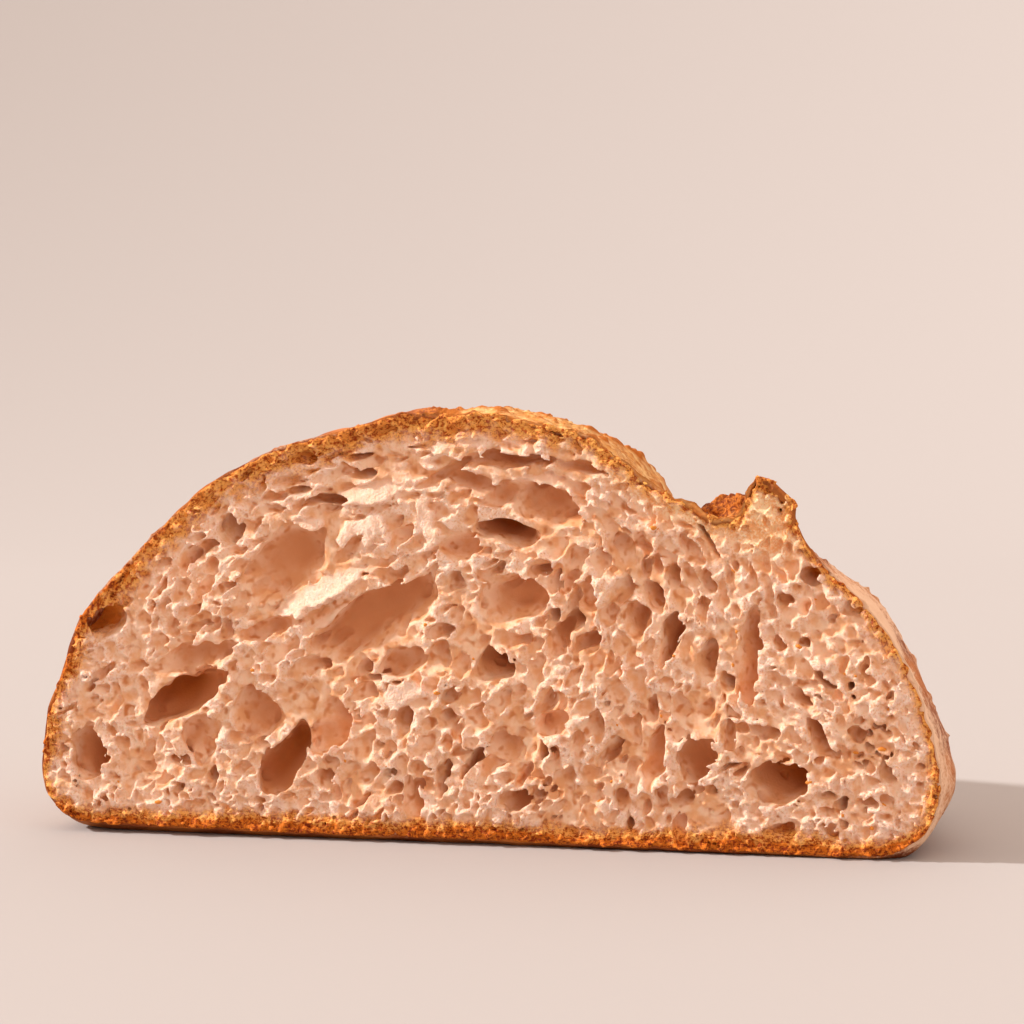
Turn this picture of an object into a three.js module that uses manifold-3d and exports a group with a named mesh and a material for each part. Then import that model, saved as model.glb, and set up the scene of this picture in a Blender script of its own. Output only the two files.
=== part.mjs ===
import * as THREE from "three";
import { mergeGeometries, mergeVertices } from "three/addons/utils/BufferGeometryUtils.js";
import Module from "manifold-3d";

// Half of a round sourdough loaf, standing on its base with the cut face towards -Y.
// Millimetres, +Z up, +X to the right of somebody who looks at the cut face.
// The loaf is one piece: a domed crust with a torn ear along the score, a flat base,
// and a cut face that opens the gas pockets of the crumb.

// Driving dimensions
const WIDTH = 230; // across the cut face
const HEIGHT = 109; // table to the crown, at the cut
const DEPTH = 126; // cut face to the back of the loaf
const WAIST = 18; // height of the widest level, where the flank turns in to the base

// Outline of the cut face, as [x, z] points of a smooth closed curve: along the base from the right,
// up the left flank, over the crown and down the right flank.
const SIDE = WIDTH / 2;
const BASE_EDGE = [[100, 0.9], [76, 0.8], [40, 0.9], [0, 1.4], [-40, 1.5], [-75, 1.9], [-98, 2.3]];
const LEFT_FLANK = [[-107, 3.6], [-112.6, 8.6], [-SIDE, 16.6], [-114.2, 25], [-112, 34.6], [-108.6, 44.2],
  [-104.8, 54], [-100.4, 60.4], [-91, 70.6], [-82, 79.6], [-71.5, 89], [-60, 95.6], [-47, 101.2]];
// The score opened into the grigne, the rough dough between its left lip and the ear.
// Each point has its place on the cut, its share of the ear, and its place at the back
// of the loaf, past the end of the score, where lip and ear have met and the dome is whole.
const SCORE = [
  { cut: [-31, 105.4], ear: 0, whole: [-10, 107] },
  { cut: [-20, 108.6], ear: 0, whole: [12, 106.4] },
  { cut: [-13, HEIGHT], ear: 0, whole: [18, 105.2] },
  { cut: [-8, 107.4], ear: 0, whole: [22, 104.2] },
  { cut: [0, HEIGHT], ear: 0, whole: [27, 102.8] },
  { cut: [10, 107.2], ear: 0, whole: [32, 101.2] },
  { cut: [24, 104.2], ear: 0, whole: [38, 99] },
  { cut: [33, 99.8], ear: 0.1, whole: [43, 97] },
  { cut: [42, 92.8], ear: 0.25, whole: [48, 94.6] },
  { cut: [52, 86.8], ear: 0.5, whole: [53, 92.2] },
  { cut: [60, 83.6], ear: 0.7, whole: [57.5, 89.8] },
  { cut: [65, 83.8], ear: 0.8, whole: [61, 87.8] },
  { cut: [67.4, 88], ear: 0.9, whole: [64.5, 85.6] },
  { cut: [69.6, 92.2], ear: 1, whole: [67.5, 83.8] },
  { cut: [72.8, 93.4], ear: 1, whole: [70.5, 82] },
  { cut: [76.4, 91], ear: 0.9, whole: [73.5, 80.2] },
  { cut: [79.4, 87], ear: 0.7, whole: [76.5, 78.2] },
  { cut: [80.2, 80.8], ear: 0.5, whole: [79.8, 75.8] },
  { cut: [84.2, 74.4], ear: 0.25, whole: [84.4, 72.4] },
];
const RIGHT_FLANK = [[94.4, 64.6], [102.2, 55], [107.6, 45.6], [111.6, 34.4], [114.2, 23], [SIDE, 16.2],
  [112.8, 9.2], [107.4, 3.4]];

// The ear leans over the grigne and sinks a little just behind the cut, and its rim is uneven.
const EAR_LEAN = 16;
const EAR_DROP = 9;
const EAR_LEAN_LENGTH = 18;
const EAR_UNEVENNESS = 1.5;
const EAR_CLOSES_FROM = 0.5 * DEPTH; // the lip's side of the score closes in from the cut on
const SCORE_END = 0.86 * DEPTH;

// The flanks and the crown go on swelling for a little way behind the cut, most of all low down.
const WIDEST_AT = 18;
const FLANK_BULGE = 3.6;
const FLANK_BULGE_TOP = 78;
const CROWN_RISE = 1;

// Base: near the cut its edge stands a little off the table, and behind that it is flat.
const BASE_LIFT = 2.6;
const BASE_LIFT_LENGTH = 6;
const BASE_LIFT_HEIGHT = 12;
const BASE_FLAT_TO = 0.86 * DEPTH;

// Crust relief
const PLAN_POWER = 2.1; // roundness of the loaf seen from above, 2 being a circle
const DOME_POWER = 2; // roundness of the loaf seen from the side
const SWELL = 1.1; // height of the broad swellings of the crust
const SWELL_LENGTH = 23;
const RELIEF_CORE = new THREE.Vector3(0, 0.25 * DEPTH, 30); // the crust swells away from here

// Fineness of the crust's surface
const STEPS_PER_POINT = 3;
const STATIONS = 16;
const CUT_STATIONS = [0, 3, 6]; // extra sections by the lifted base edge

// Gas pockets that the cut opens: centre [x, z] on the cut face, half length, half height,
// tilt in degrees from +X towards +Z, and depth behind the face.
const POCKETS = [
  { at: [-97.2, 54.4], half: [5.7, 4.6], tilt: 10, depth: 9 },
  { at: [-76.1, 34.7], half: [13.4, 4.5], tilt: 29, depth: 13 },
  { at: [-58.8, 31.6], half: [6.9, 6.1], tilt: 90, depth: 8 },
  { at: [-50.1, 19.8], half: [11.1, 5], tilt: 62, depth: 10 },
  { at: [-101.6, 18.8], half: [7.3, 4.1], tilt: 80, depth: 10 },
  { at: [-50.7, 69.5], half: [10.5, 7.9], tilt: 38, depth: 9 },
  { at: [-27.5, 55.4], half: [19.2, 6.2], tilt: 25, depth: 11 },
  { at: [-64.9, 79.7], half: [4.2, 3.7], tilt: 90, depth: 8 },
  { at: [-74.1, 44.8], half: [12.3, 4], tilt: 20, depth: 5 },
  { at: [-72.9, 24.3], half: [6.4, 5.6], tilt: 60, depth: 5 },
  { at: [-38.8, 28.8], half: [7.9, 5.2], tilt: 70, depth: 7 },
  { at: [-16, 11.9], half: [5.7, 3.1], tilt: 100, depth: 8 },
  { at: [-20, 46], half: [6.2, 3.6], tilt: 30, depth: 6 },
  { at: [-4.3, 73.1], half: [6.1, 4.1], tilt: 10, depth: 7 },
  { at: [8.6, 95.4], half: [18, 2.2], tilt: 3, depth: 7 },
  { at: [17, 86.6], half: [10.6, 4.4], tilt: -20, depth: 9 },
  { at: [7.1, 77.6], half: [8.4, 3.5], tilt: -5, depth: 14 },
  { at: [9.1, 61.6], half: [9.1, 6.8], tilt: 22, depth: 8 },
  { at: [4.1, 45], half: [5.1, 4.1], tilt: 0, depth: 10 },
  { at: [19.5, 30.8], half: [5, 3.5], tilt: 40, depth: 6 },
  { at: [21.5, 51.6], half: [5.6, 2.8], tilt: 64, depth: 8 },
  { at: [48.9, 51.9], half: [7.7, 2.2], tilt: 78, depth: 9 },
  { at: [58.8, 47.2], half: [5.7, 2.7], tilt: 85, depth: 6 },
  { at: [68.4, 48.4], half: [12.2, 2.9], tilt: 88, depth: 8 },
  { at: [82.6, 69], half: [2.9, 2.7], tilt: 0, depth: 7 },
  { at: [85.3, 28.9], half: [5.3, 2.4], tilt: -45, depth: 8 },
  { at: [102.4, 22.6], half: [3.6, 2.2], tilt: -70, depth: 8 },
  { at: [75.1, 17.1], half: [8, 6.6], tilt: 0, depth: 13 },
  { at: [54.7, 23.1], half: [6.2, 4.2], tilt: 90, depth: 9 },
  { at: [45.6, 23.8], half: [7.6, 2.6], tilt: 78, depth: 5 },
  { at: [-7.7, 16.7], half: [5.1, 1.8], tilt: 80, depth: 8 },
  { at: [10.2, 11.7], half: [4.1, 3], tilt: 75, depth: 8 },
];
const POCKET_SIDES = 10;
const POCKET_RINGS = 6;
const POCKET_SET_BACK = 0.2; // share of the depth that a pocket's centre lies behind the face

const CRUST_COLOUR = 0xc0803f;
const CRUST_ROUGHNESS = 0.85;

const wasm = await Module();
wasm.setup();

// 0 below the first limit, 1 above the second, smooth between
const ramp = (value, from, to) => THREE.MathUtils.smoothstep(value, from, to);

// Quarter of a superellipse: 1 at u = 0, 0 at u = 1
const rounding = (u, power) => Math.pow(Math.max(0, 1 - Math.pow(u, power)), 1 / power);

// The closed outline of the section at depth y, before the loaf narrows towards its back.
function outlineAt(y) {
  const lean = 1 - Math.exp(-y / EAR_LEAN_LENGTH);
  const uneven = EAR_UNEVENNESS * (Math.sin(y / 4.5) + Math.sin(y / 7 + 1)) * ramp(y, 0, 8) / 2;
  const score = SCORE.map(({ cut, ear, whole }) => {
    const closed = ramp(y, ear * EAR_CLOSES_FROM, SCORE_END);
    const rim = ear > 0.85 ? uneven : 0;
    const open = [cut[0] - EAR_LEAN * lean * ear, cut[1] - EAR_DROP * lean * ear + rim];
    return [0, 1].map((k) => THREE.MathUtils.lerp(open[k], whole[k], closed));
  });
  const points = [...BASE_EDGE, ...LEFT_FLANK, ...score, ...RIGHT_FLANK];
  const curve = new THREE.CatmullRomCurve3(
    points.map(([x, z]) => new THREE.Vector3(x, 0, z)), true, "centripetal",
  );
  return curve.getPoints(points.length * STEPS_PER_POINT).slice(0, -1);
}

// How far a section has grown or shrunk at depth y: it grows by the bulge, then rounds off to the back.
function growth(y, bulge, power) {
  const rest = Math.max(0, WIDEST_AT - y) / WIDEST_AT;
  const back = Math.max(0, y - WIDEST_AT) / (DEPTH - WIDEST_AT);
  return (1 + bulge * (1 - rest * rest)) * rounding(back, power);
}

// Broad, irregular swellings of the crust
function swelling(p) {
  const [a, b, c] = [p.x, p.y, p.z].map((v) => v / SWELL_LENGTH);
  return (Math.sin(2.1 * a + 1.3 * b + 0.4) + Math.sin(1.7 * b - 2.3 * c + 1.9)
    + Math.sin(3.1 * a - 2.7 * c + 0.8) + Math.sin(3.7 * b + 2.9 * a + 2.2)) / 4;
}

// A point of the outline taken back to the section at depth y.
function onLoaf(point, y) {
  const lift = BASE_LIFT * ramp(y, 0, BASE_LIFT_LENGTH) * Math.max(0, 1 - point.z / BASE_LIFT_HEIGHT);
  const height = Math.max(0, point.z - lift) - WAIST;
  const bulge = (FLANK_BULGE / SIDE) * (1 - ramp(point.z, WAIST, FLANK_BULGE_TOP));
  const under = Math.max(0, y - BASE_FLAT_TO) / (DEPTH - BASE_FLAT_TO);
  const rise = height > 0 ? growth(y, CROWN_RISE / HEIGHT, DOME_POWER) : rounding(under, DOME_POWER);
  const p = new THREE.Vector3(point.x * growth(y, bulge, PLAN_POWER), y, WAIST + height * rise);
  const swell = SWELL * swelling(p) * ramp(y, 0, 12) * ramp(p.z, 2, 16);
  return p.addScaledVector(p.clone().sub(RELIEF_CORE).normalize(), swell);
}

// A three.js geometry as a solid: only positions count, and equal points are shared.
function solidOf(geometry) {
  const bare = geometry.clone();
  bare.deleteAttribute("normal");
  bare.deleteAttribute("uv");
  const merged = mergeVertices(bare, 1e-3);
  const corners = merged.index.array;
  const triVerts = [];
  for (let i = 0; i < corners.length; i += 3) {
    const [a, b, c] = corners.subarray(i, i + 3);
    if (a !== b && b !== c && c !== a) triVerts.push(a, b, c);
  }
  return new wasm.Manifold(new wasm.Mesh({
    numProp: 3,
    vertProperties: merged.attributes.position.array,
    triVerts: Uint32Array.from(triVerts),
  }));
}

// The whole half loaf: a grid wrapped round the sections from the back to the cut,
// and the flat cut face that closes it.
function loafSolid() {
  const spread = Array.from({ length: STATIONS }, (_, k) => DEPTH * Math.sin(((k + 1) / STATIONS) * Math.PI / 2));
  const depths = [...CUT_STATIONS, ...spread.filter((y) => y > CUT_STATIONS.at(-1) + 2)];
  const rings = depths.reverse().map((y) => outlineAt(y).map((point) => onLoaf(point, y)));
  const around = rings[0].length;
  const crust = new THREE.PlaneGeometry(1, 1, around, depths.length - 1);
  const place = crust.getAttribute("position");
  for (let i = 0; i < place.count; i += 1) {
    const ring = rings[Math.floor(i / (around + 1))];
    place.setXYZ(i, ...ring[(i % (around + 1)) % around]);
  }
  const rim = rings.at(-1).map((p) => new THREE.Vector2(p.x, p.z));
  const face = new THREE.ShapeGeometry(new THREE.Shape(rim)).rotateX(Math.PI / 2);
  return solidOf(mergeGeometries([crust, face]));
}

function pocketSolid({ at, half, tilt, depth }) {
  const ball = new THREE.SphereGeometry(1, POCKET_SIDES, POCKET_RINGS);
  ball.rotateX(Math.PI / 2);
  ball.scale(half[0], depth * (1 - POCKET_SET_BACK), half[1]);
  ball.rotateY(-THREE.MathUtils.degToRad(tilt));
  ball.translate(at[0], depth * POCKET_SET_BACK, at[1]);
  return solidOf(ball);
}

function toGeometry(solid) {
  const mesh = solid.getMesh();
  const geometry = new THREE.BufferGeometry();
  geometry.setAttribute("position", new THREE.BufferAttribute(mesh.vertProperties, 3));
  geometry.setIndex(new THREE.BufferAttribute(mesh.triVerts, 1));
  geometry.computeVertexNormals();
  return geometry;
}

const halfLoaf = new THREE.Mesh(
  toGeometry(POCKETS.reduce((loaf, pocket) => loaf.subtract(pocketSolid(pocket)), loafSolid())),
  new THREE.MeshStandardMaterial({ color: CRUST_COLOUR, roughness: CRUST_ROUGHNESS, metalness: 0 }),
);
halfLoaf.name = "half_loaf";

// The origin is under the middle of the loaf, on the table.
halfLoaf.geometry.computeBoundingBox();
const middle = halfLoaf.geometry.boundingBox.getCenter(new THREE.Vector3());
halfLoaf.position.set(-middle.x, -middle.y, -halfLoaf.geometry.boundingBox.min.z);

const loaf = new THREE.Group();
loaf.add(halfLoaf);

export default loaf;
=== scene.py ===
"""Half of a round sourdough loaf: a floury crust with a torn ear, and the open crumb of its cut face.

The loaf is worked out in millimetres: x to the right along the cut face, y back into the loaf,
z up from the table. The crust is a wrapped grid, and the crumb is a block of solid out of which
gas pockets of all sizes are taken before it is skinned.
"""

import math

import bmesh
import bpy
import numpy as np
import openvdb
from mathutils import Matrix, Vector


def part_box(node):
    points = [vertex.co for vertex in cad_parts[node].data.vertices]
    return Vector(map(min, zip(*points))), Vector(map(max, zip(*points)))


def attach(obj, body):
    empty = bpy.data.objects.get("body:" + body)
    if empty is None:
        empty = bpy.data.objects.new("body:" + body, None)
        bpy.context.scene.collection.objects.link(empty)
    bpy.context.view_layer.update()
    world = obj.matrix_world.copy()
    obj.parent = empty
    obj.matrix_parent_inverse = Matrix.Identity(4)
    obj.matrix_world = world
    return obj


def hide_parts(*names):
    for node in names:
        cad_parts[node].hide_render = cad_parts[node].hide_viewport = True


MM = 0.001
rng = np.random.default_rng(11)  # draws the small cells, then the pockets' dents, then the loose crumbs

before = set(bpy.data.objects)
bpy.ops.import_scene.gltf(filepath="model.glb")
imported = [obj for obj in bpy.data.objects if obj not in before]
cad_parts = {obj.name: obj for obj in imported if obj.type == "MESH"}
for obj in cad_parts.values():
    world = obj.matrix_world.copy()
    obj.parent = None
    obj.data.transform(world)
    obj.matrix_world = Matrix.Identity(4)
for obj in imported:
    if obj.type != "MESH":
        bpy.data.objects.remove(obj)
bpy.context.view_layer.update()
low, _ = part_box("half_loaf")
ON_CUT = 1e-6  # metres within which a corner of the solid counts as on the cut
cut_x = [v.co.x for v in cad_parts["half_loaf"].data.vertices if v.co.y < low.y + ON_CUT]
CUT = Vector(((min(cut_x) + max(cut_x)) / 2, low.y, 0))  # where the loaf's x, y, z are counted from

# Driving sizes, the same as the solid's
WIDTH = 230.0  # across the cut face
SIDE = WIDTH / 2
HEIGHT = 109.0  # table to crown, at the cut
DEPTH = 126.0  # cut face to the back of the loaf
WAIST = 18.0  # height of the widest level, where the flank turns in to the base

# Outline of the cut face as [x, z]: along the base from the right, up the left flank, over the crown
# and down the right flank. A point of the score also has its share of the ear, and its place
# at the back of the loaf, where the score has closed.
BASE_EDGE = [(100, 0.9), (76, 0.8), (40, 0.9), (0, 1.4), (-40, 1.5), (-75, 1.9), (-98, 2.3)]
LEFT_FLANK = [
    (-107, 3.6), (-112.6, 8.6), (-SIDE, 16.6), (-114.2, 25), (-112, 34.6), (-108.6, 44.2), (-104.8, 54),
    (-100.4, 60.4), (-91, 70.6), (-82, 79.6), (-71.5, 89), (-60, 95.6), (-47, 101.2),
]
SCORE = [
    ((-31, 105.4), 0, (-10, 107)),
    ((-20, 108.6), 0, (12, 106.4)),
    ((-13, HEIGHT), 0, (18, 105.2)),
    ((-8, 107.4), 0, (22, 104.2)),
    ((0, HEIGHT), 0, (27, 102.8)),
    ((10, 107.2), 0, (32, 101.2)),
    ((24, 104.2), 0, (38, 99)),
    ((33, 99.8), 0.1, (43, 97)),
    ((42, 92.8), 0.25, (48, 94.6)),
    ((52, 86.8), 0.5, (53, 92.2)),
    ((60, 83.6), 0.7, (57.5, 89.8)),
    ((65, 83.8), 0.8, (61, 87.8)),
    ((67.4, 88), 0.9, (64.5, 85.6)),
    ((69.6, 92.2), 1, (67.5, 83.8)),
    ((72.8, 93.4), 1, (70.5, 82)),
    ((76.4, 91), 0.9, (73.5, 80.2)),
    ((79.4, 87), 0.7, (76.5, 78.2)),
    ((80.2, 80.8), 0.5, (79.8, 75.8)),
    ((84.2, 74.4), 0.25, (84.4, 72.4)),
]
RIGHT_FLANK = [
    (94.4, 64.6), (102.2, 55), (107.6, 45.6), (111.6, 34.4), (114.2, 23), (SIDE, 16.2), (112.8, 9.2),
    (107.4, 3.4),
]
FLANK_POINTS = len(BASE_EDGE) + len(LEFT_FLANK)
LIP = FLANK_POINTS + 2  # the score's left lip, as a place along the outline
VALLEY = FLANK_POINTS + 11
EAR_RIM = FLANK_POINTS + 14
EAR_FOOT = FLANK_POINTS + 18
OUTLINE_POINTS = FLANK_POINTS + len(SCORE) + len(RIGHT_FLANK)

# The ear leans over the score and sinks behind the cut, along an uneven rim, until it closes
EAR_LEAN = 16.0
EAR_DROP = 9.0
EAR_LEAN_LENGTH = 18.0
EAR_UNEVENNESS = 1.5
EAR_WAVES = (4.5, 7.0)
EAR_NOTCH = 4.0  # depth of the dip in the ear's rim, just behind the cut
EAR_NOTCH_AT = 3.4
EAR_NOTCH_WIDTH = 1.6
EAR_SINK = 3.2  # how much lower the rim stays for a stretch behind the dip
EAR_SINK_END = (20.0, 34.0)
EAR_RIM_SHARE = 0.85  # a point of the score with more of the ear than this is on its rim
EAR_CLOSES_FROM = 0.5 * DEPTH
SCORE_END = 0.86 * DEPTH

# The flanks and the crown swell for a little way behind the cut, and round off towards the back
WIDEST_AT = 18.0
FLANK_BULGE = 2.0
FLANK_BULGE_TOP = 56.0  # height at which the bulge has run out
CROWN_RISE = 1.0
PLAN_POWER = 2.1
DOME_POWER = 2.0
BASE_LIFT = 2.6  # how far the base's edge is off the table behind the cut
BASE_LIFT_LENGTH = 6.0
BASE_LIFT_HEIGHT = 12.0
BASE_FLAT_TO = 0.86 * DEPTH
SWELL = 1.1  # broad unevenness of the crust, outwards from the loaf's core
SWELL_LENGTH = 23.0
SWELL_FROM_CUT = 12.0
SWELL_HEIGHTS = (2.0, 16.0)
CORE = np.array([0, 0.25 * DEPTH, 30])

# The crust's grid
CUT_EDGE = 0.5  # how far behind the cut the crust's surface starts
CRUST_THICK = 1.4
CRUST_STEP = 1.1  # along the outline
SCORE_STEP = 0.55  # along the outline, in the score
BASE_STEP = 3.2  # along the outline, on the base
FRONT_ROWS = 56
FRONT_DEPTH = 36.0  # how far back the rows stay close together
BACK_ROWS = 64
OUTLINE_FINENESS = 24  # steps between two outline points, over which the grid's spacing is measured


def ramp(value, start, end):
    """0 before start, 1 after end, smooth between."""
    t = np.clip((np.asarray(value, float) - start) / (end - start), 0, 1)
    return t * t * (3 - 2 * t)


def rounding(u, power):
    """1 at u = 0, falling to 0 at 1 along a rounded quarter."""
    return np.maximum(0, 1 - np.clip(u, 0, None) ** power) ** (1 / power)


def catmull(points, t):
    """Closed centripetal Catmull-Rom curve through points, at t counted in points."""
    i = np.floor(t).astype(int)
    f = (t - i)[:, None]
    p0, p1, p2, p3 = (points[(i + k) % len(points)] for k in (-1, 0, 1, 2))
    d0, d1, d2 = (np.linalg.norm(b - a, axis=1)[:, None] ** 0.5 for a, b in ((p0, p1), (p1, p2), (p2, p3)))
    m1 = ((p1 - p0) / d0 - (p2 - p0) / (d0 + d1) + (p2 - p1) / d1) * d1
    m2 = ((p2 - p1) / d1 - (p3 - p1) / (d1 + d2) + (p3 - p2) / d2) * d1
    return p1 + m1 * f + (3 * (p2 - p1) - 2 * m1 - m2) * f**2 + (2 * (p1 - p2) + m1 + m2) * f**3


def outline_points(y):
    """The outline's points in the section at depth y, before the loaf narrows towards its back."""
    lean = 1 - math.exp(-max(0, y) / EAR_LEAN_LENGTH)
    waves = math.sin(y / EAR_WAVES[0]) + math.sin(y / EAR_WAVES[1] + 1)
    uneven = EAR_UNEVENNESS * waves * float(ramp(y, 0, 8)) / 2
    uneven -= EAR_NOTCH * math.exp(-(((y - EAR_NOTCH_AT) / EAR_NOTCH_WIDTH) ** 2))
    uneven -= EAR_SINK * float(ramp(y, 1, 5) * (1 - ramp(y, *EAR_SINK_END)))
    score = []
    for cut, ear, whole in SCORE:
        closed = float(ramp(y, ear * EAR_CLOSES_FROM, SCORE_END))
        rim = uneven if ear > EAR_RIM_SHARE else 0
        opened = np.array([cut[0] - EAR_LEAN * lean * ear, cut[1] - EAR_DROP * lean * ear + rim])
        score.append(opened + (np.array(whole) - opened) * closed)
    return np.array([*BASE_EDGE, *LEFT_FLANK, *score, *RIGHT_FLANK], float)


def growth(y, bulge, power):
    """How large the section at depth y is against the one at the cut."""
    rest = max(0, WIDEST_AT - y) / WIDEST_AT
    back = max(0, y - WIDEST_AT) / (DEPTH - WIDEST_AT)
    return (1 + bulge * (1 - rest * rest)) * rounding(back, power)


def swelling(p):
    """Broad uneven waves at points p, between -1 and 1."""
    a, b, c = (p / SWELL_LENGTH).T
    return (
        np.sin(2.1 * a + 1.3 * b + 0.4) + np.sin(1.7 * b - 2.3 * c + 1.9)
        + np.sin(3.1 * a - 2.7 * c + 0.8) + np.sin(3.7 * b + 2.9 * a + 2.2)
    ) / 4


def section(y, t):
    """Points of the loaf's plain surface at depth y, at t along the outline."""
    y_in = max(0, y)
    x, z = catmull(outline_points(y_in), t).T
    lift = BASE_LIFT * ramp(y_in, 0, BASE_LIFT_LENGTH) * np.maximum(0, 1 - z / BASE_LIFT_HEIGHT)
    height = np.maximum(0, z - lift) - WAIST
    bulge = FLANK_BULGE / SIDE * (1 - ramp(z, WAIST, FLANK_BULGE_TOP))
    under = max(0, y_in - BASE_FLAT_TO) / (DEPTH - BASE_FLAT_TO)
    rise = np.where(height > 0, growth(y_in, CROWN_RISE / HEIGHT, DOME_POWER), rounding(under, DOME_POWER))
    p = np.stack([x * growth(y_in, bulge, PLAN_POWER), np.full_like(x, y), WAIST + height * rise], 1)
    out = p - CORE
    out /= np.linalg.norm(out, axis=1)[:, None]
    swell = SWELL * swelling(p) * ramp(y_in, 0, SWELL_FROM_CUT) * ramp(p[:, 2], *SWELL_HEIGHTS)
    return p + out * swell[:, None]


CORNERS = [(i, j, k) for k in (0, 1) for j in (0, 1) for i in (0, 1)]  # of a cube of the lattice
LATTICE_SIZE = 64
LATTICE = np.random.default_rng(3).standard_normal([LATTICE_SIZE] * 3).astype(np.float32)
SEED_SHIFT = 17.31  # how far apart two seeds read the lattice


def noise(p, wavelength, seed=0):
    """Smooth random values at points p, about -1 to 1, with features of that size in millimetres."""
    q = np.asarray(p, float) / wavelength + seed * SEED_SHIFT
    i = np.floor(q).astype(int)
    f = q - i
    f = f * f * (3 - 2 * f)
    total = 0
    for step in CORNERS:
        weight = np.prod(np.where(step, f, 1 - f), axis=-1)
        a, b, c = np.moveaxis((i + step) % LATTICE_SIZE, -1, 0)
        total = total + weight * LATTICE[a, b, c]
    return total


def block_noise(shape, cell, seed):
    """Smooth random values over a whole block of voxels, with lattice points every cell voxels."""
    source = np.random.default_rng(seed)
    values = source.standard_normal([int(n / c) + 4 for n, c in zip(shape, cell)]).astype(np.float32)
    for axis, (n, c) in enumerate(zip(shape, cell)):
        at = np.arange(n) / c
        i = at.astype(int)
        f = (at - i).astype(np.float32)
        weights = [(1 - f) ** 3, 3 * f**3 - 6 * f**2 + 4, -3 * f**3 + 3 * f**2 + 3 * f + 1, f**3]
        side = [1, 1, 1]
        side[axis] = n
        values = sum(w.reshape(side) / 6 * np.take(values, i + k, axis=axis) for k, w in enumerate(weights))
    return values / values.std()


# Relief of the skin and of the crags, as size of the features, height and seed of each noise
SKIN_SIZES = ((9.0, 0.4, 5), (3.2, 0.16, 6))
CRAG_SIZES = ((3.4, 0.5, 3), (1.6, 0.6, 4), (1.0, 0.35, 13))
# Fibres and flakes of the torn dough run across the score: the less of x and z a noise reads, the
# longer they are
FINE_STRANDS = [0.3, 1, 0.3]
STRANDS = [0.5, 1, 0.5]
FLAKES = [0.5, 1, 0.8]


def layered(p, sizes):
    """Sum of noises at points p, each given by the size of its features, its height and its seed."""
    return sum(height * noise(p, size, seed) for size, height, seed in sizes)


def torn_fibres(y, p):
    """How far the fibres of the torn dough stand out, finest near the cut, where they are seen close."""
    close = 1 - 0.6 * ramp(y, FRONT_DEPTH - 6, FRONT_DEPTH + 20)
    strands = np.abs(noise(p * FINE_STRANDS, 1.7, 1)) * 0.5 * close
    strands = strands + np.abs(noise(p * STRANDS, 3.2, 2)) * 0.55
    flakes = np.maximum(0, noise(p * FLAKES, 3.0, 7) - 0.2) * 0.9 + noise(p, 1.2, 12) * 0.4 * close
    return 0.5 - strands + flakes


def crust_relief(t, y, p):
    """How far the baked surface stands out, and its shares of torn dough, roast rim and browned ridge."""
    torn = ramp(t, LIP - 0.4, LIP + 0.6) * (1 - ramp(t, EAR_RIM - 0.6, EAR_RIM + 0.3))
    torn = torn * (1 - ramp(y, SCORE_END - 14, SCORE_END))
    rim = np.exp(-(((t - EAR_RIM) / 1.1) ** 2)) + 0.8 * np.exp(-(((t - LIP) / 1.0) ** 2))
    rim = np.clip(rim, 0, 1) * (1 - ramp(y, SCORE_END - 20, SCORE_END))
    rim = rim * (1 - 0.6 * ramp(noise(p, 9.0, 15), -0.4, 0.8) * ramp(y, 4, 10))
    inside_ear = ramp(t, VALLEY - 0.5, VALLEY + 1.5) * (1 - ramp(t, EAR_RIM, EAR_RIM + 1.5))
    fibres = torn_fibres(y, p)
    skin = layered(p, SKIN_SIZES) + np.maximum(0, noise(p, 2.0, 8) - 0.9) * 0.5
    crag = np.clip(layered(p, CRAG_SIZES) + 0.1, -1.5, 1.5)
    crag = crag * np.clip(rim + 0.8 * inside_ear * ramp(y, 1, 4), 0, 1)
    crag = crag * (0.45 + 0.55 * ramp(y, 0.5, 3))
    top = ramp(p[:, 2], 3, 14)
    relief = top * (skin * (1 - torn) + torn * fibres * 0.9 + crag * 1.15)
    relief = relief + (1 - top) * 0.12 * noise(p, 2.5, 9)
    ridge = fibres * (1 - 0.75 * ramp(t, LIP + 4, VALLEY - 1))
    ridge = np.maximum(ridge, 0.8 * (1 - ramp(y, 1, 2.5)))
    return relief, torn, np.clip(rim + inside_ear * ramp(y, 0, 3) * 0.9, 0, 1), ridge


def outline_steps():
    """Places along the outline for the crust's grid: closest in the score, wide on the base."""
    fine = np.arange(0, OUTLINE_POINTS, 1 / OUTLINE_FINENESS)
    p = section(0, fine)
    length = np.linalg.norm(np.roll(p, -1, 0) - p, axis=1)
    step = np.where(fine < len(BASE_EDGE) - 1, BASE_STEP, CRUST_STEP)
    step = np.where((fine > LIP - 3) & (fine < EAR_FOOT + 1), SCORE_STEP, step)
    walked = np.concatenate([[0], np.cumsum(length / step)])
    count = int(walked[-1])
    return np.interp(np.arange(count) * walked[-1] / count, walked, np.append(fine, OUTLINE_POINTS))


T = outline_steps()


def crust_ring(y):
    """The baked surface at depth y: points and normals, then shares as crust_relief gives them."""
    p = section(y, T)
    ahead = section(y + 0.5, T)
    along = np.roll(p, -1, 0) - np.roll(p, 1, 0)
    normal = np.cross(along, ahead - p)
    normal /= np.linalg.norm(normal, axis=1)[:, None] + 1e-9
    relief, torn, rim, ridge = crust_relief(T, y, p)
    return p + normal * relief[:, None], normal, torn, rim, ridge


STEP = 0.4  # edge of a voxel
BLOCK_LOW = np.array([-118.0, -1.6, -0.4])
BLOCK_HIGH = np.array([118.0, 18.0, 112.0])
CRUMB_BACK = 17.0  # depth at which the crumb ends, hidden in the crust's shell
SHAPE = tuple(int(round(n)) + 1 for n in (BLOCK_HIGH - BLOCK_LOW) / STEP)

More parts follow.
